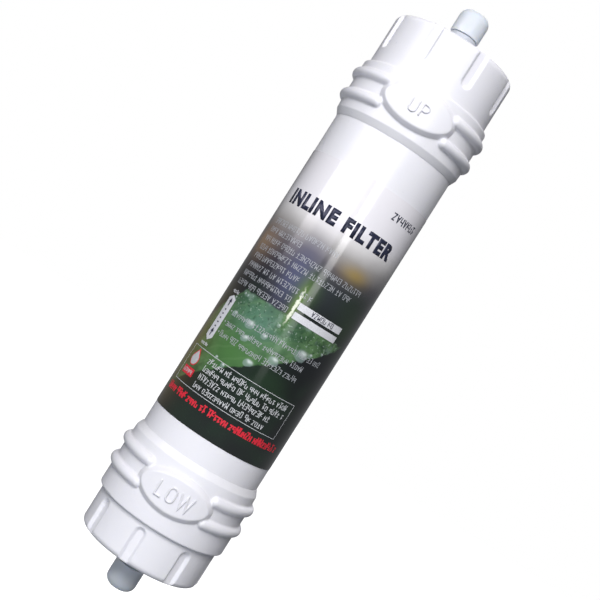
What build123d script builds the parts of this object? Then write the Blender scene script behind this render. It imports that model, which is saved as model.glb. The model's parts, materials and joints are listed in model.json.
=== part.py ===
from build123d import *
import os
from math import cos, hypot, radians, sin

# Inline water filter cartridge. Origin at the centre of the body, +Z towards the outlet (upper) end.
# The badges of both caps face -Y. Millimetres.

# Body
tube_radius = 28.0
tube_wall = 2.2
tube_half_length = 99.0
weld_gap = 0.02          # radial gap of the glued joint between tube and cap
end_gap = 0.2            # gap between the tube's end and the shoulder in the cap

# End caps, as distances s from the middle of the body
rim_s = 125.4            # outer face of each cap
cap_start_s = 76.0       # inner end of each cap, where it meets the tube
cap_lip = 0.15           # width of the flat ring at that end
chamfer_end_s = 79.0
chamfer_break = 2.0      # length of the gentle bend after the chamfer
collar_radius = 30.0
collar_waist_radius = 29.75
upper_grip_radius = 28.3
upper_step_s = 102.3
lower_grip_radius = 28.0
lower_step_s = 108.0
step_run = 1.6           # length of the soft step between grip and collar
rim_round = 2.7
cap_bore_radius = 24.8
end_wall = 4.0

# Ribs and badge on each collar
rib_places = (85.4, 95.4)
rib_round = 2.3
rib_centre_radius = 29.7
rib_end_angle = 31.5     # centre of each ball end, from the front
badge_s = 91.2
badge_half_width = 16.8
badge_half_height = 8.9
badge_radius = 32.0
badge_depth = 12.0
badge_bevel = 1.7        # width of the sloping edge
badge_round = 1.0
root_round = 0.8         # hollow fillet where ribs and badge meet the collar
letter_height = 0.45
letter_stroke = 0.65
o_tall = 6.8             # outside of the letter O
o_wide = 4.0

# Flutes of the grip
flute_count = 8
flute_width = 3.0        # at the floor of the flute
flute_depth = 1.4
flute_draft = 45.0
flute_edge_round = 0.7
upper_flute_length = 15.7
upper_flute_angle = 22.5
lower_flute_length = 14.8
lower_flute_angle = -7.5

# Push-fit ports for 1/4 inch tube, depth d measured inwards from the face of the boss
boss_radius = 10.5
upper_boss_s = 128.9
lower_boss_s = 127.4
press_in = 1.5           # travel of the collet
flange_radius = 6.45
flange_thick = 2.0
retainer_radius = 6.7
retainer_depth = 6.5
retainer_bore_radius = 4.6
barrel_radius = 4.5
barb_radius = 5.4
barb_start_d = 5.6
barb_full_d = 6.7
collet_tip_d = 9.0
collet_bore_radius = 3.22
finger_slit_start_d = 1.5
finger_slit_width = 0.9
port_bore_radius = 6.0
spacer_start_d = 11.6
spacer_end_d = 12.8
gland_radius = 5.12
gland_end_d = 14.9
oring_section_radius = 0.95
oring_centre_radius = 4.14
pocket_radius = 3.3
pocket_end_d = 20.0
passage_radius = 2.3
inner_boss_radius = 9.5
gusset_count = 6
gusset_thick = 1.8
boss_chamfer = 0.8
retainer_seat_d = 5.4
tooth_count = 12
tooth_thick = 0.3
tooth_gap = 0.04
tooth_tip_d = 10.0
tooth_slit_width = 0.5
tooth_slit_reach = 4.7
spacer_bore_radius = 3.4

# Transit plug
plug_shank_radius = 3.15
plug_tip_d = 19.5
plug_head_radius = 6.8
plug_head_length = 11.4
plug_head_gap = 0.2
plug_head_round = 4.0

# Filter element
block_radius = 21.5
block_bore_radius = 7.0
block_low_z = -84.0
block_high_z = 88.0
core_outer_radius = 6.9
core_inner_radius = 5.5
wrap_thick = 1.0
net_thick = 0.6
end_cap_radius = 24.2
end_cap_plate = 2.6
end_cap_skirt = 5.0
stem_radius = 6.0
stem_bore_radius = 3.2
stem_top_z = 107.0
socket_radius = 6.08
socket_start_s = 96.5
socket_depth = 11.0
stem_groove_places = (100.0, 103.6)
stem_groove_depth = 1.75
stem_ring_section = 0.9
net_columns = 16
net_rows = 12
net_window = 5.4
core_columns = 6
core_rows = 14
core_window = 3.0
spreader_thick = 2.0
spreader_holes = 10
spreader_hole_radius = 2.4
spreader_hole_circle = 18.0
spreader_legs = 6

# Label
label_low_z = -65.8
label_high_z = 57.9
label_thick = 0.12

os.makedirs("parts", exist_ok=True)


def save(builder, label):
    """Name a finished piece and write its file."""
    builder.part.label = label
    export_step(builder.part, "parts/" + label + ".step")


def radial_plane(side):
    """Plane through the axis whose sketch points are (radius, distance s from the middle)."""
    return Plane(origin=(0, 0, 0), x_dir=(1, 0, 0), z_dir=(0, -side, 0))


def facing_plane(angle, radius, z):
    """Plane tangent to the body, its normal outwards, angle 0 at the front, +Z up the sketch."""
    turn = radians(angle)
    out = (sin(turn), -cos(turn), 0)
    along = (cos(turn), sin(turn), 0)
    return Plane(origin=(radius * out[0], radius * out[1], z), x_dir=along, z_dir=out)


def off_axis(edge):
    """Distance of an edge's middle from the axis of the body."""
    middle = edge @ 0.5
    return hypot(middle.X, middle.Y)


def turned(side, points):
    """A closed ring turned about the axis from its (radius, s) outline."""
    with BuildPart() as ring:
        with BuildSketch(radial_plane(side)):
            with BuildLine():
                Polyline(*points, close=True)
            make_face()
        revolve(axis=Axis.Z)
    return ring


# End caps

def cap_shell(side, grip_radius, step_s):
    """The cup that goes over the tube, from its chamfered lip to its end wall."""
    with BuildPart() as shell:
        with BuildSketch(radial_plane(side)):
            with BuildLine():
                lip = Polyline(
                    (tube_radius + weld_gap, cap_start_s),
                    (tube_radius + cap_lip, cap_start_s),
                    (collar_waist_radius - 0.1, chamfer_end_s),
                    (collar_waist_radius, chamfer_end_s + chamfer_break),
                    (collar_radius, rib_places[0]),
                    (collar_radius, step_s - step_run),
                )
                step_mid = ((collar_radius + grip_radius) / 2, step_s - step_run / 2)
                upper_bend = TangentArc(lip @ 1, step_mid, tangent=(0, 1))
                lower_bend = TangentArc((grip_radius, step_s), step_mid, tangent=(0, -1))
                rim_start = (grip_radius, rim_s - rim_round)
                Line(lower_bend @ 0, rim_start)
                rim = RadiusArc(rim_start, (grip_radius - rim_round, rim_s), -rim_round)
                Polyline(
                    rim @ 1,
                    (0, rim_s),
                    (0, rim_s - end_wall),
                    (cap_bore_radius, rim_s - end_wall),
                    (cap_bore_radius, tube_half_length + end_gap),
                    (tube_radius + weld_gap, tube_half_length + end_gap),
                    lip @ 0,
                )
            make_face()
        revolve(axis=Axis.Z)
    return shell


def grip_flutes(side, grip_radius, flute_length, first_angle):
    """Cutters for the drafted flutes, open at the end face and rounded at their inner end."""
    cut_length = flute_length + 10.0
    middle_s = rim_s - flute_length + cut_length / 2
    with BuildPart() as flutes:
        for number in range(flute_count):
            angle = first_angle + number * 360 / flute_count
            with BuildSketch(facing_plane(angle, grip_radius - flute_depth, side * middle_s)):
                SlotOverall(cut_length, flute_width, rotation=90)
            extrude(amount=flute_depth + 1.0, taper=-flute_draft)
    return flutes


def collar_ribs(side):
    """Two rounded ribs that stop short of the badge at the front, with ball ends."""
    with BuildPart() as ribs:
        for s in rib_places:
            with BuildSketch(facing_plane(rib_end_angle - 90, 0, 0)):
                with Locations((rib_centre_radius, side * s)):
                    Circle(rib_round)
            revolve(axis=Axis.Z, revolution_arc=360 - 2 * rib_end_angle)
            for angle in (-rib_end_angle, rib_end_angle):
                with Locations(facing_plane(angle, rib_centre_radius, side * s)):
                    Sphere(rib_round)
    return ribs


def badge(side):
    """The raised oval at the front of the collar, its face following the cylinder, its edge sloped."""
    with BuildPart() as oval:
        with BuildSketch(facing_plane(0, badge_radius + 1.0, side * badge_s)):
            Ellipse(badge_half_width, badge_half_height)
        extrude(amount=-badge_depth)
        Cylinder(badge_radius, 4 * rim_s, mode=Mode.INTERSECT)
        chamfer(oval.faces().sort_by(Axis.Y)[0].edges(), badge_bevel)
        outlines = oval.edges().filter_by(
            lambda edge: edge.length > 20 and off_axis(edge) > badge_radius - 2.0
        )
        fillet(outlines, badge_round)
    return oval


def letter_strokes(word, middle_z):
    """Raised letters UP or LOW, made of straight strokes and arcs, wrapped onto the badge."""
    with BuildPart() as letters:
        with BuildSketch(facing_plane(0, badge_radius - 3.0, middle_z)):
            if word == "UP":
                with BuildLine() as letter_u:
                    Line((-4.0, 2.6), (-4.0, -1.1))
                    ThreePointArc((-4.0, -1.1), (-2.45, -2.65), (-0.9, -1.1))
                    Line((-0.9, -1.1), (-0.9, 2.6))
                trace(letter_u.wires(), letter_stroke)
                with BuildLine() as letter_p_stem:
                    Line((1.1, -2.7), (1.1, 3.0))
                trace(letter_p_stem.wires(), letter_stroke)
                with BuildLine() as letter_p_bowl:
                    Line((1.1, 2.6), (2.6, 2.6))
                    ThreePointArc((2.6, 2.6), (4.05, 1.15), (2.6, -0.3))
                    Line((2.6, -0.3), (1.1, -0.3))
                trace(letter_p_bowl.wires(), letter_stroke)
            else:
                with BuildLine() as letter_l:
                    Polyline((-7.4, 3.1), (-7.4, -3.1), (-4.7, -3.1))
                trace(letter_l.wires(), letter_stroke)
                with Locations((-0.9, 0)):
                    SlotOverall(o_tall, o_wide, rotation=90)
                    hole_tall = o_tall - 2 * letter_stroke
                    hole_wide = o_wide - 2 * letter_stroke
                    SlotOverall(hole_tall, hole_wide, rotation=90, mode=Mode.SUBTRACT)
                with BuildLine() as letter_w:
                    Polyline((2.5, 3.1), (4.1, -3.0), (5.5, 2.4), (6.9, -3.0), (8.4, 3.1))
                trace(letter_w.wires(), letter_stroke)
        extrude(amount=6.0)
        Cylinder(badge_radius + letter_height, 4 * rim_s, mode=Mode.INTERSECT)
    return letters


def is_root_edge(edge):
    """True for the edges where the ribs and the badge rise from the collar."""
    near_collar = collar_radius - 0.5 < off_axis(edge) < collar_radius + 0.6
    s = abs((edge @ 0.5).Z)
    return near_collar and chamfer_end_s + chamfer_break < s < badge_s + badge_half_height + 0.1


def port_boss(side, boss_s, inner_s):
    """The solid boss that carries the push-fit port, outside and inside the end wall."""
    return turned(side, (
        (0, inner_s),
        (inner_boss_radius, inner_s),
        (inner_boss_radius, rim_s - end_wall / 2),
        (boss_radius, rim_s - end_wall / 2),
        (boss_radius, boss_s - boss_chamfer),
        (boss_radius - boss_chamfer, boss_s),
        (0, boss_s),
    ))


def port_bores(side, boss_s, inner_s, socket_depth):
    """Cutter for the stepped bore: retainer, spacer, O-ring gland, tube pocket, passage, socket."""
    return turned(side, (
        (0, boss_s + 1.0),
        (retainer_radius, boss_s + 1.0),
        (retainer_radius, boss_s - retainer_depth),
        (port_bore_radius, boss_s - retainer_depth),
        (port_bore_radius, boss_s - spacer_end_d),
        (gland_radius, boss_s - spacer_end_d),
        (gland_radius, boss_s - gland_end_d),
        (pocket_radius, boss_s - gland_end_d),
        (pocket_radius, boss_s - pocket_end_d),
        (passage_radius, boss_s - pocket_end_d),
        (passage_radius, inner_s + socket_depth),
        (socket_radius, inner_s + socket_depth),
        (socket_radius, inner_s - 1.0),
        (0, inner_s - 1.0),
    ))


def tube_socket(side):
    """Cutter for the socket that the end of the body tube is glued into."""
    return turned(side, (
        (0, cap_start_s - 1.0),
        (tube_radius + weld_gap, cap_start_s - 1.0),
        (tube_radius + weld_gap, tube_half_length + end_gap),
        (0, tube_half_length + end_gap),
    ))


def cap_gusset(side, inner_s):
    """One radial stiffening web between the boss and the cap's wall, inside the cup."""
    start_s = max(inner_s + 2.0, tube_half_length + 5.0)
    end_s = rim_s - end_wall
    with BuildPart() as web:
        with BuildSketch(radial_plane(side)):
            with Locations(((inner_boss_radius + cap_bore_radius) / 2, (start_s + end_s) / 2)):
                Rectangle(cap_bore_radius - inner_boss_radius + 1.0, end_s - start_s + 1.0)
        extrude(amount=gusset_thick / 2, both=True)
    return web


def end_cap(side, grip_radius, step_s, flute_length, first_flute, boss_s, inner_s, socket_depth, word):
    """One whole cap: cup, flutes, ribs, badge, letters, gussets and the bored port boss."""
    with BuildPart() as cap:
        add(cap_shell(side, grip_radius, step_s).part)
        add(grip_flutes(side, grip_radius, flute_length, first_flute).part, mode=Mode.SUBTRACT)
        add(collar_ribs(side).part)
        add(badge(side).part)
        add(tube_socket(side).part, mode=Mode.SUBTRACT)
        fillet(cap.edges().filter_by(is_root_edge), root_round)
        flute_rims = cap.edges().filter_by(
            lambda edge: abs(off_axis(edge) - grip_radius) < 0.12
            and step_s < abs((edge @ 0.5).Z) < rim_s - rim_round
            and 5.0 < edge.length < flute_length
        )
        fillet(flute_rims, flute_edge_round)
        add(letter_strokes(word, side * badge_s).part)
        add(port_boss(side, boss_s, inner_s).part)
        for number in range(gusset_count):
            add(cap_gusset(side, inner_s).part, rotation=(0, 0, number * 360 / gusset_count))
        add(port_bores(side, boss_s, inner_s, socket_depth).part, mode=Mode.SUBTRACT)
    return cap


upper_cap = end_cap(
    1, upper_grip_radius, upper_step_s, upper_flute_length, upper_flute_angle,
    upper_boss_s, socket_start_s, socket_depth, "UP",
)
save(upper_cap, "upper_cap")

lower_cap = end_cap(
    -1, lower_grip_radius, lower_step_s, lower_flute_length, lower_flute_angle,
    lower_boss_s, lower_boss_s - pocket_end_d - 2.0, 0.5, "LOW",
)
save(lower_cap, "lower_cap")


# Push-fit ports

def port_ring(side, boss_s, points):
    """A ring of the port, its outline given as (radius, depth d from the boss face)."""
    return turned(side, [(radius, boss_s - depth) for radius, depth in points])


def port_collet(side, boss_s):
    """Flanged collet with split fingers, whose barbs stop it behind the retainer."""
    flange_bottom_d = -press_in
    flange_top_d = -press_in - flange_thick
    outline = (
        (collet_bore_radius + 0.35, flange_top_d),
        (flange_radius - 0.35, flange_top_d),
        (flange_radius, flange_top_d + 0.35),
        (flange_radius, flange_bottom_d),
        (barrel_radius, flange_bottom_d),
        (barrel_radius, barb_start_d),
        (barb_radius, barb_full_d),
        (barb_radius, collet_tip_d),
        (collet_bore_radius, collet_tip_d),
        (collet_bore_radius, flange_top_d + 0.35),
    )
    slit_length = collet_tip_d - finger_slit_start_d + 1.0
    slit_middle_s = boss_s - finger_slit_start_d - slit_length / 2
    with BuildPart() as collet:
        add(port_ring(side, boss_s, outline).part)
        for angle in (0, 90):
            with BuildSketch(facing_plane(angle, 0, side * slit_middle_s)):
                Rectangle(finger_slit_width, slit_length)
            extrude(amount=flange_radius, both=True, mode=Mode.SUBTRACT)
    return collet


def port_grip_ring(side, boss_s):
    """Coned stainless ring cut into inward teeth that bite the tube."""
    tooth_edge = plug_shank_radius + tooth_gap
    outline = (
        (tooth_edge, tooth_tip_d - tooth_thick),
        (barb_radius - 0.1, collet_tip_d + 0.1),
        (barb_radius - 0.1, collet_tip_d + 0.1 + tooth_thick),
        (tooth_edge, tooth_tip_d),
    )
    with BuildPart() as ring:
        add(port_ring(side, boss_s, outline).part)
        for number in range(tooth_count // 2):
            angle = number * 360 / tooth_count
            with BuildSketch(facing_plane(angle, 0, side * (boss_s - collet_tip_d))):
                Rectangle(tooth_slit_width, 6.0)
            extrude(amount=tooth_slit_reach, both=True, mode=Mode.SUBTRACT)
    return ring


def transit_plug(side, boss_s):
    """Soft plug: a round-ended head outside the collet and a shank in place of the tube."""
    head_start_d = -press_in - flange_thick - plug_head_gap
    head_end_d = head_start_d - plug_head_length
    with BuildPart() as plug:
        with BuildSketch(radial_plane(side)):
            with BuildLine():
                shank = Polyline(
                    (0, boss_s - plug_tip_d),
                    (plug_shank_radius - 0.6, boss_s - plug_tip_d),
                    (plug_shank_radius, boss_s - plug_tip_d + 1.2),
                    (plug_shank_radius, boss_s - head_start_d),
                    (plug_head_radius - 0.25, boss_s - head_start_d),
                    (plug_head_radius, boss_s - head_start_d + 0.25),
                    (plug_head_radius, boss_s - head_end_d - plug_head_round),
                )
                crown_end = (plug_head_radius - plug_head_round, boss_s - head_end_d)
                crown = RadiusArc(shank @ 1, crown_end, -plug_head_round)
                Polyline(crown @ 1, (0, boss_s - head_end_d), shank @ 0)
            make_face()
        revolve(axis=Axis.Z)
    return plug


def port_oring(side, boss_s):
    """The O-ring that seals on the tube or on the plug's shank."""
    with BuildPart() as ring:
        with BuildSketch(radial_plane(side)):
            with Locations((oring_centre_radius, boss_s - (spacer_end_d + gland_end_d) / 2)):
                Circle(oring_section_radius)
        revolve(axis=Axis.Z)
    return ring


retainer_outline = (
    (retainer_bore_radius, 0),
    (retainer_radius - 0.02, 0),
    (retainer_radius - 0.02, retainer_depth),
    (retainer_bore_radius + 1.0, retainer_depth),
    (retainer_bore_radius, retainer_seat_d),
)
spacer_outline = (
    (spacer_bore_radius, spacer_start_d),
    (port_bore_radius - 0.02, spacer_start_d),
    (port_bore_radius - 0.02, spacer_end_d - 0.02),
    (spacer_bore_radius, spacer_end_d - 0.02),
)

for end_name, side, boss_s in (("upper", 1, upper_boss_s), ("lower", -1, lower_boss_s)):
    save(port_collet(side, boss_s), end_name + "_collet")
    save(port_grip_ring(side, boss_s), end_name + "_grip_ring")
    save(transit_plug(side, boss_s), end_name + "_plug")
    save(port_oring(side, boss_s), end_name + "_port_oring")
    save(port_ring(side, boss_s, retainer_outline), end_name + "_port_retainer")
    save(port_ring(side, boss_s, spacer_outline), end_name + "_port_spacer")


# Body tube and its printed film

with BuildPart() as housing_tube:
    Cylinder(tube_radius, 2 * tube_half_length)
    Cylinder(tube_radius - tube_wall, 2 * tube_half_length, mode=Mode.SUBTRACT)
save(housing_tube, "housing_tube")

with BuildPart() as label_wrap:
    with BuildSketch(Plane.XY.offset(label_low_z)):
        Circle(tube_radius + label_thick)
        Circle(tube_radius, mode=Mode.SUBTRACT)
    extrude(amount=label_high_z - label_low_z)
save(label_wrap, "label_wrap")


# Filter element

def sleeve(inner_radius, outer_radius):
    """A plain sleeve as long as the carbon block."""
    with BuildPart() as tube:
        with BuildSketch(Plane.XY.offset(block_low_z)):
            Circle(outer_radius)
            Circle(inner_radius, mode=Mode.SUBTRACT)
        extrude(amount=block_high_z - block_low_z)
    return tube


def pierced_sleeve(inner_radius, outer_radius, columns, rows, window):
    """A sleeve with rows of windows, twice as tall as wide, alternate rows half a pitch round."""
    row_pitch = (block_high_z - block_low_z) / rows
    with BuildPart() as tube:
        add(sleeve(inner_radius, outer_radius).part)
        for row in range(rows):
            z = block_low_z + row_pitch * (row + 0.5)
            for column in range(columns):
                angle = (column + 0.5 * (row % 2)) * 360 / columns
                with BuildSketch(facing_plane(angle, inner_radius - 1.0, z)):
                    SlotOverall(2 * window, window, rotation=90)
        extrude(amount=outer_radius - inner_radius + 2.0, mode=Mode.SUBTRACT)
    return tube


wrap_radius = block_radius + 0.02 + wrap_thick
net_inner_radius = wrap_radius + 0.02
net_outer_radius = net_inner_radius + net_thick
save(sleeve(block_bore_radius, block_radius), "carbon_block")
save(sleeve(block_radius + 0.02, wrap_radius), "prefilter_wrap")
save(
    pierced_sleeve(net_inner_radius, net_outer_radius, net_columns, net_rows, net_window),
    "outer_net",
)
save(
    pierced_sleeve(core_inner_radius, core_outer_radius, core_columns, core_rows, core_window),
    "core_tube",
)

with BuildPart() as outlet_end_cap:
    add(turned(1, (
        (stem_bore_radius, block_high_z + 0.02),
        (end_cap_radius - 1.0, block_high_z + 0.02),
        (end_cap_radius - 1.0, block_high_z - end_cap_skirt),
        (end_cap_radius, block_high_z - end_cap_skirt),
        (end_cap_radius, block_high_z + end_cap_plate),
        (stem_radius + 2.0, block_high_z + end_cap_plate),
        (stem_radius, block_high_z + end_cap_plate + 2.0),
        (stem_radius, stem_top_z - 0.6),
        (stem_radius - 0.6, stem_top_z),
        (stem_bore_radius, stem_top_z),
    )).part)
    for z in stem_groove_places:
        with BuildSketch(radial_plane(1)):
            with Locations((stem_radius, z)):
                Rectangle(2 * stem_groove_depth, 2 * stem_ring_section + 0.3)
        revolve(axis=Axis.Z, mode=Mode.SUBTRACT)
save(outlet_end_cap, "outlet_end_cap")

with BuildPart() as outlet_stem_orings:
    for z in stem_groove_places:
        with BuildSketch(radial_plane(1)):
            with Locations((socket_radius - 0.02 - stem_ring_section, z)):
                Circle(stem_ring_section)
        revolve(axis=Axis.Z)
save(outlet_stem_orings, "outlet_stem_orings")

with BuildPart() as inlet_end_cap:
    add(turned(1, (
        (0, block_low_z - 0.02),
        (end_cap_radius - 1.0, block_low_z - 0.02),
        (end_cap_radius - 1.0, block_low_z + end_cap_skirt),
        (end_cap_radius, block_low_z + end_cap_skirt),
        (end_cap_radius, block_low_z - end_cap_plate),
        (0, block_low_z - end_cap_plate),
    )).part)
save(inlet_end_cap, "inlet_end_cap")

spreader_top_z = block_low_z - end_cap_plate - 0.02
spreader_low_z = -(lower_boss_s - pocket_end_d - 2.0) + 0.02
with BuildPart() as inlet_spreader:
    with BuildSketch(Plane.XY.offset(spreader_top_z)):
        Circle(cap_bore_radius - 0.3)
        with PolarLocations(spreader_hole_circle, spreader_holes):
            Circle(spreader_hole_radius, mode=Mode.SUBTRACT)
    extrude(amount=-spreader_thick)
    with BuildSketch(Plane.XY.offset(spreader_top_z - spreader_thick)):
        with PolarLocations(inner_boss_radius - 1.5, spreader_legs):
            Rectangle(3.0, 1.6)
    extrude(amount=spreader_low_z - spreader_top_z + spreader_thick)
save(inlet_spreader, "inlet_spreader")
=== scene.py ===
import json
import math
import random

import bmesh
import bpy
from mathutils import Matrix, Vector


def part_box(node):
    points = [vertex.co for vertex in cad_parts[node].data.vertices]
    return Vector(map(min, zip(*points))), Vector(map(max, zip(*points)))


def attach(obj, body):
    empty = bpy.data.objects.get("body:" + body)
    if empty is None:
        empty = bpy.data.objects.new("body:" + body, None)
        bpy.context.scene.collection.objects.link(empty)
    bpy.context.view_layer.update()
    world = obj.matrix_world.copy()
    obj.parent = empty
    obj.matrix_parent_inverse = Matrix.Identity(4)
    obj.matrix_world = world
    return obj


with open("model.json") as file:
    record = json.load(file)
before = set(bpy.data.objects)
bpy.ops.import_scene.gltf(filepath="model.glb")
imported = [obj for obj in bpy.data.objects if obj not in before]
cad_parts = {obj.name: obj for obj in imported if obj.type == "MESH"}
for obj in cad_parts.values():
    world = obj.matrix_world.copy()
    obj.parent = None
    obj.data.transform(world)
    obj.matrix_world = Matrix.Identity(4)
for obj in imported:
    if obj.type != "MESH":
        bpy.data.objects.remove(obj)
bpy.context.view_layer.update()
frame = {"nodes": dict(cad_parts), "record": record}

# Everything below is in metres, unless its name ends in mm. The axis of the cartridge is Z, and its front
# faces -Y. A place on the printed film is given in millimetres as (across, up): across runs round the film
# from the front to the reader's right.
MM = 0.001
film_low, film_high = (Vector(corner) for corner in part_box("label_wrap"))
film_radius = film_high.x
film_radius_mm = film_radius / MM
film_bottom_mm = film_low.z / MM
film_top_mm = film_high.z / MM
cap_mouth_mm = Vector(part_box("upper_cap")[0]).z / MM

soft_edge_radius = 0.0007   # the caps' edges are shaded as if rounded this much
film_lap_mm = 87.2          # where the film's ends lap over each other at the back
print_lift_mm = 0.02        # gap between the film and the print
print_thick_mm = 0.03
upper_print_lift_mm = print_lift_mm + 2 * print_thick_mm   # print that lies on other print
slice_mm = 1.4              # widest flat step of the print round the film


def srgb(red, green, blue):
    """A colour given as 0 to 255 display values, as the linear values that the shaders use."""
    linear = []
    for value in (red / 255, green / 255, blue / 255):
        linear.append(value / 12.92 if value <= 0.04045 else ((value + 0.055) / 1.055) ** 2.4)
    return (*linear, 1.0)


# Materials

class Graph:
    """The nodes of one material, with short calls for the few kinds it needs."""

    def __init__(self, name, color, roughness):
        self.material = bpy.data.materials.new(name)
        self.material.use_nodes = True
        self.tree = self.material.node_tree
        self.shader = self.tree.nodes["Principled BSDF"]
        self.set("Base Color", color)
        self.set("Roughness", roughness)

    def feed(self, socket, value):
        if isinstance(value, bpy.types.NodeSocket):
            self.tree.links.new(value, socket)
        else:
            socket.default_value = value

    def set(self, name, value):
        self.feed(self.shader.inputs[name], value)

    def math(self, operation, *values, clamp=False):
        node = self.tree.nodes.new("ShaderNodeMath")
        node.operation = operation
        node.use_clamp = clamp
        for socket, value in zip(node.inputs, values):
            self.feed(socket, value)
        return node.outputs[0]

    def place(self):
        """The x, y and z of the shaded point in the object's own space, in millimetres."""
        coordinates = self.tree.nodes.new("ShaderNodeTexCoord")
        parts = self.tree.nodes.new("ShaderNodeSeparateXYZ")
        self.tree.links.new(coordinates.outputs["Object"], parts.inputs[0])
        return [self.math("MULTIPLY", output, 1 / MM) for output in parts.outputs]

    def rise(self, value, start, end):
        """0 below start, 1 above end, smooth between."""
        node = self.tree.nodes.new("ShaderNodeMapRange")
        node.interpolation_type = "SMOOTHSTEP"
        for name, given in (("Value", value), ("From Min", start), ("From Max", end)):
            self.feed(node.inputs[name], given)
        return node.outputs[0]

    def glow(self, across, up, centre, reach):
        """A round or oval spot that fades from 1 at its centre."""
        side = self.math("DIVIDE", self.math("SUBTRACT", across, centre[0]), reach[0])
        tall = self.math("DIVIDE", self.math("SUBTRACT", up, centre[1]), reach[1])
        square = self.math("ADD", self.math("MULTIPLY", side, side), self.math("MULTIPLY", tall, tall))
        return self.math("EXPONENT", self.math("MULTIPLY", square, -1.0))

    def mix(self, amount, first, second):
        node = self.tree.nodes.new("ShaderNodeMix")
        node.data_type = "RGBA"
        self.feed(node.inputs[0], amount)
        self.feed(node.inputs[6], first)
        self.feed(node.inputs[7], second)
        return node.outputs[2]

    def ramp(self, value, stops):
        node = self.tree.nodes.new("ShaderNodeValToRGB")
        elements = node.color_ramp.elements
        for number, (position, color) in enumerate(stops):
            element = elements[number] if number < 2 else elements.new(position)
            element.position = position
            element.color = color
        self.feed(node.inputs[0], value)
        return node.outputs[0]

    def noise(self, scale, detail=3.0, stretch=None):
        """Fractal noise in the object's own space, scale in cells a metre."""
        node = self.tree.nodes.new("ShaderNodeTexNoise")
        node.inputs["Scale"].default_value = scale
        node.inputs["Detail"].default_value = detail
        vector = self.tree.nodes.new("ShaderNodeTexCoord").outputs["Object"]
        if stretch:
            mapping = self.tree.nodes.new("ShaderNodeMapping")
            mapping.inputs["Scale"].default_value = stretch
            self.feed(mapping.inputs[0], vector)
            vector = mapping.outputs[0]
        self.feed(node.inputs["Vector"], vector)
        return node.outputs[0]

    def bump(self, height, distance, soft_edges=False):
        """A fine relief. Soft edges are shaded as if rounded, except near the mouths of the caps."""
        node = self.tree.nodes.new("ShaderNodeBump")
        node.inputs["Distance"].default_value = distance
        self.feed(node.inputs["Height"], height)
        if soft_edges:
            edges = self.tree.nodes.new("ShaderNodeBevel")
            edges.samples = 6
            from_middle = self.math("ABSOLUTE", self.place()[2])
            away = self.rise(from_middle, cap_mouth_mm + 0.5, cap_mouth_mm + 1.5)
            self.feed(edges.inputs["Radius"], self.math("MULTIPLY", away, soft_edge_radius))
            self.feed(node.inputs["Normal"], edges.outputs[0])
        self.feed(self.shader.inputs["Normal"], node.outputs[0])


def mottled(name, dark, light, roughness, scale, depth, soft_edges=False):
    """Moulded material: faint cloudy colour, uneven gloss and a fine skin texture."""
    gloss_change = 0.06
    skin_fineness = 30
    graph = Graph(name, light, roughness)
    clouds = graph.noise(scale, 4.0)
    graph.set("Base Color", graph.mix(clouds, dark, light))
    skin = graph.noise(scale * skin_fineness, 2.0)
    gloss = graph.math("MULTIPLY_ADD", skin, 2 * gloss_change, roughness - gloss_change)
    graph.set("Roughness", gloss)
    graph.bump(skin, depth, soft_edges)
    return graph


def white_plastic():
    low, high = srgb(233, 232, 239), srgb(239, 238, 244)
    graph = mottled("white_polypropylene", low, high, 0.3, 35, 0.00002, soft_edges=True)
    graph.set("Subsurface Weight", 0.12)
    graph.set("Subsurface Radius", (0.004, 0.004, 0.005))
    graph.set("Subsurface Scale", 0.5)
    return graph.material


def plug_plastic():
    low, high = srgb(208, 213, 221), srgb(220, 225, 233)
    graph = mottled("soft_grey_plug", low, high, 0.36, 120, 0.00003)
    graph.set("Subsurface Weight", 0.35)
    graph.set("Subsurface Radius", (0.003, 0.004, 0.006))
    graph.set("Subsurface Scale", 0.5)
    return graph.material


def collet_plastic():
    # The collet is white acetal; its grey colour is painted shade for the shadow under the plug head.
    low, high = srgb(184, 188, 197), srgb(198, 202, 210)
    return mottled("acetal_greyed_painted_shade", low, high, 0.22, 90, 0.00001).material


def inner_plastic():
    low, high = srgb(205, 208, 210), srgb(222, 225, 226)
    return mottled("natural_polypropylene", low, high, 0.42, 60, 0.00003).material


def net_plastic():
    low, high = srgb(225, 226, 226), srgb(238, 238, 238)
    return mottled("white_net", low, high, 0.5, 200, 0.00004).material


def carbon():
    low, high = srgb(18, 18, 19), srgb(48, 48, 50)
    return mottled("pressed_carbon", low, high, 0.85, 600, 0.0002).material


def nonwoven():
    graph = Graph("nonwoven", srgb(238, 238, 234), 0.9)
    fibres = graph.noise(1500, 6.0, stretch=(1.0, 1.0, 0.15))
    graph.set("Base Color", graph.mix(fibres, srgb(214, 214, 210), srgb(246, 246, 244)))
    graph.bump(fibres, 0.0001)
    return graph.material


def stainless():
    graph = Graph("stamped_stainless", srgb(196, 198, 202), 0.28)
    graph.set("Metallic", 1.0)
    grain = graph.noise(900, 3.0, stretch=(1.0, 1.0, 12.0))
    graph.set("Roughness", graph.math("MULTIPLY_ADD", grain, 0.2, 0.2))
    graph.bump(grain, 0.00001)
    return graph.material


def seal_rubber():
    low, high = srgb(22, 22, 24), srgb(38, 38, 40)
    return mottled("black_rubber", low, high, 0.55, 300, 0.00004).material


def ink(name, color):
    """Printing ink: nearly even, with the small gaps and gloss of a screen print."""
    fading = 0.86
    graph = Graph(name, color, 0.3)
    speckle = graph.noise(2500, 2.0)
    faded = [channel * fading for channel in color[:3]] + [1.0]
    graph.set("Base Color", graph.mix(graph.rise(speckle, 0.35, 0.6), faded, color))
    graph.set("Coat Weight", 0.4)
    graph.set("Coat Roughness", 0.12)
    return graph.material


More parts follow.
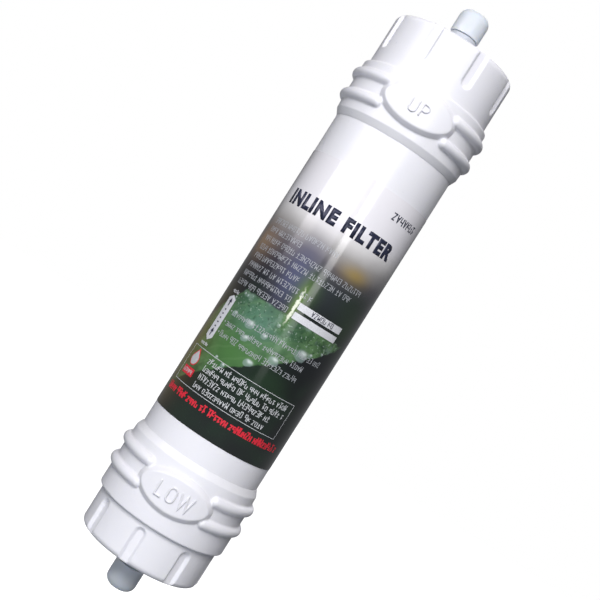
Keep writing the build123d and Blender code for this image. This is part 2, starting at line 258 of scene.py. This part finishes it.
def leaf_colors(graph, across, up):
    """The green of the leaf: side veins, lighter patches, and wet specks and dew on its upper part."""
    along = graph.math("MULTIPLY_ADD", across, 0.59, graph.math("MULTIPLY", up, 0.81))
    vein_phase = graph.math("MULTIPLY_ADD", across, 0.62, graph.math("MULTIPLY", up, -0.95))
    wobble = graph.math("MULTIPLY", graph.noise(90, 3.0), 3.5)
    wave = graph.math("SINE", graph.math("ADD", vein_phase, wobble))
    veins = graph.rise(wave, 0.75, 1.0)
    blade = graph.rise(graph.noise(170, 5.0), 0.25, 0.75)
    green = graph.mix(blade, srgb(40, 72, 44), srgb(94, 130, 84))
    green = graph.mix(graph.glow(across, up, (-9, -15), (13, 9)), green, srgb(80, 122, 100))
    green = graph.mix(graph.glow(across, up, (-12, -31), (14, 9)), green, srgb(72, 116, 62))
    green = graph.mix(graph.math("MULTIPLY", veins, 0.1), green, srgb(124, 160, 108))
    shade = graph.math("MULTIPLY", graph.rise(graph.noise(420, 3.0), 0.52, 0.7), 0.6)
    shade = graph.math("MULTIPLY", shade, graph.rise(along, -14, 4))
    green = graph.mix(shade, green, srgb(24, 58, 34))
    upper = graph.rise(up, -21, -11)
    wet = graph.math("MULTIPLY", graph.rise(graph.noise(210, 4.0), 0.52, 0.72), upper)
    green = graph.mix(graph.math("MULTIPLY", wet, 0.6), green, srgb(128, 152, 140))
    specks = graph.math("MULTIPLY", graph.rise(graph.noise(760, 3.0), 0.56, 0.66), upper)
    green = graph.mix(graph.math("MULTIPLY", specks, 0.5), green, srgb(22, 48, 30))
    dew = graph.math("MULTIPLY", graph.rise(graph.noise(900, 2.0), 0.6, 0.7), upper)
    return graph.mix(graph.math("MULTIPLY", dew, 0.5), green, srgb(176, 196, 182))


def drops(graph, across, up, spots):
    """Dew drops: pale rounds, lit above and shaded below."""
    body = None
    light = None
    across = graph.math("ADD", across, graph.math("MULTIPLY_ADD", graph.noise(260, 2.0), 2.4, -1.2))
    up = graph.math("ADD", up, graph.math("MULTIPLY_ADD", graph.noise(310, 2.0), 1.6, -0.8))
    for x, z, size in spots:
        spot = graph.glow(across, up, (x, z), (size, size * 0.8))
        glint = graph.glow(across, up, (x + size * 0.2, z + size * 0.35), (size * 0.42, size * 0.28))
        body = spot if body is None else graph.math("MAXIMUM", body, spot)
        light = glint if light is None else graph.math("MAXIMUM", light, glint)
    return graph.rise(body, 0.45, 0.62), light


def printed_film():
    """Glossy film: white at the top, fading to a dark ground with a green leaf and dew."""
    graph = Graph("printed_film", srgb(40, 45, 48), 0.12)
    x, y, up = graph.place()
    round_angle = graph.math("ARCTAN2", x, graph.math("MULTIPLY", y, -1.0))
    across = graph.math("MULTIPLY", round_angle, film_radius_mm)
    drift = graph.math("MULTIPLY_ADD", graph.noise(45, 3.0), 5.0, -2.5)
    height = graph.math("ADD", up, drift)

    # Ground: a vertical fade, given as (height, colour) from the bottom up
    span = film_top_mm - film_bottom_mm
    level = graph.math("DIVIDE", graph.math("SUBTRACT", height, film_bottom_mm), span)
    fade = [
        (-60.0, srgb(32, 36, 36)), (-34.0, srgb(11, 16, 17)), (0.0, srgb(25, 29, 35)), (12.0, srgb(48, 48, 62)),
        (20.0, srgb(95, 91, 99)), (26.0, srgb(161, 158, 158)), (31.5, srgb(217, 214, 215)),
        (38.0, srgb(241, 238, 244)),
    ]
    color = graph.ramp(level, [((z - film_bottom_mm) / span, shade) for z, shade in fade])

    # Dim foliage out of focus, then soft coloured patches behind the text (centre, reach, colour, amount)
    foliage = graph.rise(graph.noise(38, 2.0), 0.42, 0.7)
    foliage = graph.math("MULTIPLY", foliage, graph.rise(up, 8, -16))
    color = graph.mix(graph.math("MULTIPLY", foliage, 0.7), color, srgb(34, 58, 40))
    patches = [
        ((15.5, 21.5), (7, 3.6), srgb(176, 146, 62), 0.66),
        ((-33, 15), (10, 8), srgb(172, 140, 104), 0.65),
        ((-6, 9), (5.5, 12), srgb(66, 72, 108), 0.8),
        ((24, 10), (14, 9), srgb(36, 50, 38), 0.85),
        ((1.5, 6), (5, 8), srgb(74, 104, 52), 0.6),
        ((29, 0), (8, 9), srgb(40, 62, 34), 0.6),
        ((8, -33), (9, 6), srgb(38, 66, 40), 0.5),
    ]
    for centre, reach, shade, amount in patches:
        spot = graph.math("MULTIPLY", graph.glow(across, up, centre, reach), amount)
        color = graph.mix(spot, color, shade)

    # The leaf lies between a level upper edge that slants at the left, and a slanting lower edge
    ragged = graph.math("MULTIPLY_ADD", graph.noise(300, 3.0), 2.4, -1.2)
    lower_edge = graph.math("ADD", graph.math("MULTIPLY_ADD", across, 0.73, -29.8), ragged)
    left_edge = graph.math("ADD", graph.math("MULTIPLY_ADD", across, 1.1, 17.8), ragged)
    upper_edge = graph.math("MINIMUM", graph.math("ADD", ragged, -6.3), left_edge)
    above = graph.rise(graph.math("SUBTRACT", up, lower_edge), -0.6, 0.6)
    below = graph.rise(graph.math("SUBTRACT", upper_edge, up), -0.7, 0.7)
    leaf = graph.math("MULTIPLY", above, below)
    color = graph.mix(leaf, color, leaf_colors(graph, across, up))

    # The leaf turns olive out of focus at the far left
    olive = graph.glow(across, up, (-44, -38), (13, 24))
    color = graph.mix(olive, color, srgb(146, 122, 30))

    # Dew drops (across, up, size), and the bright run of water down the middle
    dew = [
        (-11.6, -17.6, 2.7), (-4.0, -18.6, 1.8), (13.6, -17.6, 3.7), (4.6, -25.2, 3.2), (-10.4, -23.4, 2.1),
        (-3.7, -31.2, 2.5), (-20.5, -17.0, 1.7), (-21.5, -8.2, 0.9), (-19.4, -8.4, 0.7), (-25.0, -11.6, 0.9),
        (-16.5, -36.2, 1.1), (-12.0, -37.3, 1.2), (22.6, -12.6, 0.9), (-1.0, -11.8, 1.1), (17.5, -15.6, 1.4),
    ]
    body, light = drops(graph, across, up, dew)
    color = graph.mix(graph.math("MULTIPLY", body, 0.55), color, srgb(142, 162, 158))
    color = graph.mix(graph.math("MULTIPLY", light, 0.8), color, srgb(222, 230, 228))
    stream_edge = graph.math("MULTIPLY_ADD", graph.noise(650, 3.0), 2.6, -1.3)
    stream = graph.glow(graph.math("ADD", across, stream_edge), up, (0.5, -1.6), (0.85, 9.5))
    halo = graph.glow(across, up, (0.4, -1.0), (2.2, 10.0))
    color = graph.mix(graph.math("MULTIPLY", halo, 0.5), color, srgb(124, 160, 70))
    color = graph.mix(graph.rise(stream, 0.3, 0.8), color, srgb(242, 246, 226))

    # Where the film laps over itself at the back
    lap = graph.rise(graph.math("ABSOLUTE", across), film_lap_mm, film_lap_mm + 0.2)
    color = graph.mix(graph.math("MULTIPLY", lap, 0.35), color, srgb(150, 152, 155))

    graph.set("Base Color", color)
    ripple = graph.noise(120, 2.0, stretch=(1.0, 1.0, 0.25))
    graph.bump(ripple, 0.00004)
    graph.set("Coat Weight", 1.0)
    graph.set("Coat Roughness", 0.12)
    return graph.material


finishes = {
    "white_plastic": white_plastic(),
    "label_film": printed_film(),
    "collet_plastic": collet_plastic(),
    "plug_plastic": plug_plastic(),
    "inner_plastic": inner_plastic(),
    "net_plastic": net_plastic(),
    "stainless": stainless(),
    "seal_rubber": seal_rubber(),
    "carbon": carbon(),
    "nonwoven": nonwoven(),
}
for subpart in frame["record"]["subparts"]:
    mesh = frame["nodes"][subpart["node"]].data
    mesh.materials.clear()
    mesh.materials.append(finishes[subpart["material_slot"]])


# Printing on the film: thin solids laid round it

# Characters of no alphabet, as strokes (start x, start y, end x, end y) in a unit box
made_up_characters = (
    ((1, 0, 1, 1), (1, 1, 0, 1), (0, 1, 0, 0.5), (0, 0.5, 1, 0.5)),
    ((0, 1, 0.5, 0), (0.5, 0, 1, 1), (0.25, 0.65, 0.75, 0.65)),
    ((0, 0, 0, 1), (0, 0, 1, 0), (1, 0, 1, 0.6)),
    ((0, 1, 1, 1), (0.5, 1, 0.5, 0), (0.5, 0.5, 1, 0.2)),
    ((0, 0, 0, 1), (0, 0.5, 1, 1), (0, 0.5, 1, 0.4)),
    ((0, 1, 0, 0.4), (0, 0.4, 1, 0.4), (1, 1, 1, 0)),
    ((0, 0, 1, 0), (1, 0, 1, 1), (1, 1, 0, 1), (0.3, 0.5, 1, 0.5)),
    ((0, 1, 0, 0), (0, 0, 0.5, 0.5), (0.5, 0.5, 1, 0), (1, 0, 1, 1)),
    ((0, 0, 1, 1), (0, 1, 1, 1), (0, 0, 0.7, 0)),
    ((0, 0.2, 0, 1), (0, 1, 1, 1), (1, 1, 1, 0), (0.3, 0, 1, 0)),
    ((0.5, 0, 0.5, 1), (0, 0.7, 1, 0.7), (0, 0, 1, 0)),
    ((0, 0, 0, 1), (1, 0, 1, 1), (0, 0.8, 1, 0.3)),
)


def put_in_order(items, place):
    """Sort a mesh's points or faces by place, because cutting leaves them in a different order each run."""
    ranks = {item: rank for rank, item in enumerate(sorted(items, key=place))}
    items.sort(key=lambda item: ranks[item])


class Sheet:
    """Flat shapes drawn in millimetres (across, up), later wrapped round the film as thin solids."""

    def __init__(self):
        self.flat = bmesh.new()

    def shape(self, points):
        corners = [self.flat.verts.new((across, 0, up)) for across, up in points]
        self.flat.faces.new(corners)

    def block(self, left, right, low, high):
        self.shape([(left, low), (right, low), (right, high), (left, high)])

    def frame(self, left, right, low, high, line):
        self.block(left, right, high - line, high)
        self.block(left, right, low, low + line)
        self.block(left, left + line, low + line, high - line)
        self.block(right - line, right, low + line, high - line)

    def stroke(self, start, end, thick):
        """A straight stroke with square ends."""
        run = Vector(end) - Vector(start)
        side = Vector((-run.y, run.x)).normalized() * thick / 2
        reach = run.normalized() * thick / 2
        first, last = Vector(start) - reach, Vector(end) + reach
        self.shape([first - side, last - side, last + side, first + side])

    def words(self, left, right, middle, tall, seed, thick=0.28, capitals=False, pitch=0.66):
        """A line of made-up characters in words of uneven length; its pitch is a share of the height."""
        width_share, small_share, space_share = 0.62, 0.73, 0.6
        draw = random.Random(seed)
        wide = tall * pitch * width_share
        low = middle - tall / 2
        across = left
        letters_left = draw.randint(3, 8)
        while across + wide < right:
            high = tall if capitals or draw.random() < 0.35 else tall * small_share
            for start_x, start_y, end_x, end_y in draw.choice(made_up_characters):
                start = (across + start_x * wide, low + thick / 2 + start_y * (high - thick))
                end = (across + end_x * wide, low + thick / 2 + end_y * (high - thick))
                self.stroke(start, end, thick)
            across += tall * pitch
            letters_left -= 1
            if letters_left == 0:
                across += tall * pitch * space_share
                letters_left = draw.randint(2, 9)

    def lettering(self, words, left, right, low, high, weight):
        """Plain generic words in the built-in typeface, stretched to a width and a height."""
        curve = bpy.data.curves.new("lettering", "FONT")
        curve.body = words
        curve.offset = weight
        curve.space_character = 1.16
        curve.resolution_u = 4
        holder = bpy.data.objects.new("lettering", curve)
        mesh = bpy.data.meshes.new_from_object(holder)
        xs = [vertex.co.x for vertex in mesh.vertices]
        ys = [vertex.co.y for vertex in mesh.vertices]
        wide, tall = max(xs) - min(xs), max(ys) - min(ys)
        for vertex in mesh.vertices:
            across = left + (vertex.co.x - min(xs)) / wide * (right - left)
            up = low + (vertex.co.y - min(ys)) / tall * (high - low)
            vertex.co = (across, 0, up)
        self.flat.from_mesh(mesh)
        bpy.data.meshes.remove(mesh)
        bpy.data.objects.remove(holder)
        bpy.data.curves.remove(curve)

    def wrap(self, name, material, lift=print_lift_mm):
        """Slice the shapes, give them thickness and lay them round the film as one piece."""
        flat = self.flat
        xs = [vertex.co.x for vertex in flat.verts]
        count = int((max(xs) - min(xs)) / slice_mm)
        for number in range(1, count + 1):
            cut = min(xs) + number * slice_mm
            geometry = flat.verts[:] + flat.edges[:] + flat.faces[:]
            bmesh.ops.bisect_plane(flat, geom=geometry, plane_co=(cut, 0, 0), plane_no=(1, 0, 0))
        raised = bmesh.ops.extrude_face_region(flat, geom=flat.faces[:])["geom"]
        top = [item for item in raised if isinstance(item, bmesh.types.BMVert)]
        bmesh.ops.translate(flat, vec=(0, -print_thick_mm, 0), verts=top)
        for vertex in flat.verts:
            radius = (film_radius_mm + lift - vertex.co.y) * MM
            angle = vertex.co.x / film_radius_mm
            vertex.co = (radius * math.sin(angle), -radius * math.cos(angle), vertex.co.z * MM)
        bmesh.ops.recalc_face_normals(flat, faces=flat.faces[:])
        put_in_order(flat.verts, lambda vertex: vertex.co[:])
        put_in_order(flat.faces, lambda face: [corner.co[:] for corner in face.verts])
        mesh = bpy.data.meshes.new(name)
        flat.to_mesh(mesh)
        flat.free()
        mesh.materials.append(material)
        piece = bpy.data.objects.new(name, mesh)
        bpy.context.scene.collection.objects.link(piece)
        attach(piece, "cartridge")


white_ink = ink("white_ink", srgb(205, 206, 210))
grey_ink = ink("grey_ink", srgb(172, 174, 180))
# White ink for the panels, brighter than the lettering's white ink: its own white, plus a painted highlight for
# the reflection of the right-hand strip.
white_ink_plus_painted_highlight = ink("white_ink_plus_painted_highlight", srgb(223, 223, 229))
red_ink = ink("red_ink", srgb(222, 44, 62))
title_ink = ink("title_ink", srgb(40, 44, 66))
dark_ink = ink("dark_ink", srgb(34, 36, 60))

# The title, and a short dark mark above it at the right
title = Sheet()
title.lettering("INLINE FILTER", -30.4, 25.8, 33.3, 40.2, 0.06)
title.words(15.2, 31.6, 50.3, 3.3, seed=74, thick=0.5, capitals=True, pitch=0.72)
title.wrap("printed_title", title_ink)

# Eight lines of small characters, given by their right ends, and three lines with a bullet
facts = Sheet()
fact_start, fact_middle, fact_pitch = -30.6, 24.5, 4.17
fact_ends = (6.0, -8.6, 23.0, 20.4, -3.2, 5.7, -1.6, -1.6)
for number, end in enumerate(fact_ends):
    middle = fact_middle - number * fact_pitch
    facts.words(fact_start, end, middle, 2.4, seed=number, thick=0.22, capitals=True, pitch=0.62)
bullet_line_start, bullet_line_middle, bullet_line_pitch = -21.6, -17.1, 4.9
bullet_line_ends = (24.6, 18.4, 18.2)
bullet_size = 0.6
for number, end in enumerate(bullet_line_ends):
    middle = bullet_line_middle - number * bullet_line_pitch
    facts.words(bullet_line_start, end, middle, 2.6, seed=20 + number, thick=0.22, pitch=0.52)
    left, low = bullet_line_start - 1.6, middle - bullet_size / 2
    facts.block(left, left + bullet_size, low, low + bullet_size)
facts.wrap("printed_facts", grey_ink)

# Four lines (middle, right end) in a thin frame
notice = Sheet()
notice.frame(-33.0, 25.2, -52.6, -36.3, 0.22)
notice_start = -18.7
notice_lines = ((-38.9, 22.1), (-42.5, 23.0), (-46.2, 17.5), (-50.0, 17.3))
for number, (middle, end) in enumerate(notice_lines):
    notice.words(notice_start, end, middle, 2.7, seed=40 + number, thick=0.28, pitch=0.54)
notice.wrap("printed_notice", white_ink)

# Two boxes for dates beside the last two facts, and an upright bar with points and a short line at both ends
panels = Sheet()
for low in (-2.2, -6.4):
    panels.block(1.5, 24.6, low, low + 2.9)
bar_left, bar_middle, bar_right = -29.6, -27.0, -24.4
bar_low, bar_high = -30.8, -12.6
panels.shape([
    (bar_left, bar_low), (bar_middle, bar_low - 1.8), (bar_right, bar_low),
    (bar_right, bar_high), (bar_middle, bar_high + 1.4), (bar_left, bar_high),
])
panels.words(-29.7, -24.1, -9.4, 1.5, seed=71, thick=0.2)
panels.words(-29.7, -24.1, -34.2, 1.5, seed=72, thick=0.2)
panels.wrap("printed_panels", white_ink_plus_painted_highlight)

# Flow arrows and marks on the bar, and a line in the upper box
arrows = Sheet()
for base in (-15.4, -29.6):
    head_left, head_right, head_low = bar_middle - 1.1, bar_middle + 1.1, base + 1.0
    arrows.shape([(head_left, head_low), (head_right, head_low), (bar_middle, base + 2.8)])
    arrows.block(bar_middle - 0.3, bar_middle + 0.3, base - 0.8, head_low)
mark_low, mark_pitch, mark_count = -18.2, 2.0, 5
for number in range(mark_count):
    low = mark_low - number * mark_pitch
    arrows.block(bar_middle - 0.5, bar_middle + 0.5, low, low + 0.6)
arrows.words(8.0, 19.4, -0.75, 2.2, seed=73, capitals=True, pitch=0.7)
arrows.wrap("printed_arrows", dark_ink, upper_print_lift_mm)


def drop_outline(across, low, high, wide, grow=0.0):
    """A water drop, pointed above and round below."""
    round_start, round_turn, steps = 155, 230, 16
    radius = wide / 2 + grow
    centre = low + wide / 2
    points = [(across, high + 1.6 * grow)]
    for step in range(steps + 1):
        angle = math.radians(round_start + step * round_turn / steps)
        points.append((across + radius * math.cos(angle), centre + radius * math.sin(angle)))
    return points


# A water drop with a red rim over a red box, and the red line below the frame
drop_across, drop_low, drop_wide = -26.7, -44.2, 5.0
drop_red = Sheet()
drop_red.shape(drop_outline(drop_across, drop_low, -37.6, drop_wide, 0.45))
drop_red.block(-30.6, -22.4, -49.0, -45.6)
drop_red.words(-34.0, 31.0, -56.1, 3.3, seed=60, thick=0.58, pitch=0.48)
drop_red.wrap("printed_red", red_ink)

drop_white = Sheet()
drop_white.shape(drop_outline(drop_across, drop_low, -37.8, drop_wide))
drop_white.words(-29.8, -23.0, -47.3, 1.7, seed=61, thick=0.22, capitals=True)
drop_white.wrap("printed_drop", white_ink, upper_print_lift_mm)


# Camera, lights and surroundings

# The camera looks along +Y and is rolled, so that the upright cartridge leans in the picture
lean = math.radians(32.3)
camera_distance = 0.5
camera_lens_mm = 70.8
aim = Vector((0.0007, 0, 0.00148))
camera_right = Vector((math.cos(lean), 0, math.sin(lean)))
camera_up = Vector((-math.sin(lean), 0, math.cos(lean)))
camera_back = Vector((0, -1, 0))

camera_data = bpy.data.cameras.new("camera")
camera_data.sensor_width = 36
camera_data.lens = camera_lens_mm
camera_data.clip_start = 0.01
camera = bpy.data.objects.new("camera", camera_data)
turn = Matrix((camera_right, camera_up, camera_back)).transposed().to_4x4()
camera.matrix_world = Matrix.Translation(aim + camera_back * camera_distance) @ turn
bpy.context.scene.collection.objects.link(camera)
bpy.context.scene.camera = camera


def softbox(name, azimuth, height, distance, wide, tall, radiance, tint=(1.0, 1.0, 1.0), glossy=False):
    """A rectangular light that faces the middle of the object; azimuth 0 is the front, 90 the right."""
    data = bpy.data.lights.new(name, "AREA")
    data.shape = "RECTANGLE"
    data.size = wide
    data.size_y = tall
    data.energy = radiance * math.pi * wide * tall
    data.color = tint
    light = bpy.data.objects.new(name, data)
    turn = math.radians(azimuth)
    light.location = (math.sin(turn) * distance, -math.cos(turn) * distance, height)
    light.rotation_euler = light.location.to_track_quat("Z", "Y").to_euler()
    light.visible_glossy = glossy
    bpy.context.scene.collection.objects.link(light)
    return light


def glossy_strip(name, azimuth, wide, radiance, tint=(1.0, 1.0, 1.0), fade=(0.0, 0.4)):
    """An upright light seen only in reflections, which fades out towards its lower end."""
    low, high, distance = -0.12, 0.75, 0.9
    strip = softbox(name, azimuth, 0.0, distance, wide, high - low, radiance, tint, glossy=True)
    strip.location.z = (low + high) / 2
    strip.visible_diffuse = False
    strip.data.use_nodes = True
    tree = strip.data.node_tree
    place = tree.nodes.new("ShaderNodeNewGeometry")
    parts = tree.nodes.new("ShaderNodeSeparateXYZ")
    level = tree.nodes.new("ShaderNodeMapRange")
    level.interpolation_type = "SMOOTHSTEP"
    level.inputs["From Min"].default_value = fade[0]
    level.inputs["From Max"].default_value = fade[1]
    tree.links.new(place.outputs["Parametric"], parts.inputs[0])
    tree.links.new(parts.outputs["Y"], level.inputs["Value"])
    tree.links.new(level.outputs[0], tree.nodes["Emission"].inputs["Strength"])


softbox("key_light", -8, 0.86, 1.2, 0.88, 0.88, 10.6)
softbox("low_fill", -15, -0.62, 0.84, 0.6, 0.6, 1.85, (0.84, 0.92, 1.0))
glossy_strip("left_strip", -55, 0.36, 3.7, (0.97, 0.92, 1.0), fade=(0.1, 0.37))
glossy_strip("middle_strip", -22, 0.7, 1.7, (0.86, 0.82, 1.0))
glossy_strip("right_strip", 14, 0.2, 4.7, fade=(-0.02, 0.36))

# Behind the part, out of reach of the front
softbox("back_key", 168, 0.8, 1.3, 0.9, 0.9, 7.5)
softbox("back_fill", 200, -0.7, 0.9, 0.6, 0.6, 3.0)
glossy_strip("back_strip", 180, 0.22, 3.5)


def surroundings():
    """White to the camera, and a dim cool fill for everything else."""
    world = bpy.data.worlds.new("surroundings")
    world.use_nodes = True
    nodes, links = world.node_tree.nodes, world.node_tree.links
    fill = nodes["Background"]
    fill.inputs["Color"].default_value = (0.94, 0.96, 1.0, 1.0)
    fill.inputs["Strength"].default_value = 0.14
    backdrop = nodes.new("ShaderNodeBackground")
    backdrop.inputs["Color"].default_value = (1.0, 1.0, 1.0, 1.0)
    rays = nodes.new("ShaderNodeLightPath")
    mixer = nodes.new("ShaderNodeMixShader")
    links.new(rays.outputs["Is Camera Ray"], mixer.inputs[0])
    links.new(fill.outputs[0], mixer.inputs[1])
    links.new(backdrop.outputs[0], mixer.inputs[2])
    links.new(mixer.outputs[0], nodes["World Output"].inputs["Surface"])
    bpy.context.scene.world = world


surroundings()


def pale_floor():
    """A large pale floor well below the part, which only the camera sees."""
    half_width, height = 6.0, -0.6
    mesh = bpy.data.meshes.new("floor")
    shape = bmesh.new()
    bmesh.ops.create_grid(shape, x_segments=8, y_segments=8, size=half_width)
    bmesh.ops.translate(shape, vec=(0, 0, height), verts=shape.verts)
    shape.to_mesh(mesh)
    shape.free()
    graph = Graph("pale_floor", (0.9, 0.9, 0.9, 1.0), 0.8)
    graph.set("Emission Color", (1.0, 1.0, 1.0, 1.0))
    graph.set("Emission Strength", 1.0)
    mesh.materials.append(graph.material)
    floor = bpy.data.objects.new("floor", mesh)
    floor.visible_diffuse = False
    floor.visible_glossy = False
    floor.visible_shadow = False
    bpy.context.scene.collection.objects.link(floor)


pale_floor()
bpy.context.scene.view_settings.view_transform = "Standard"
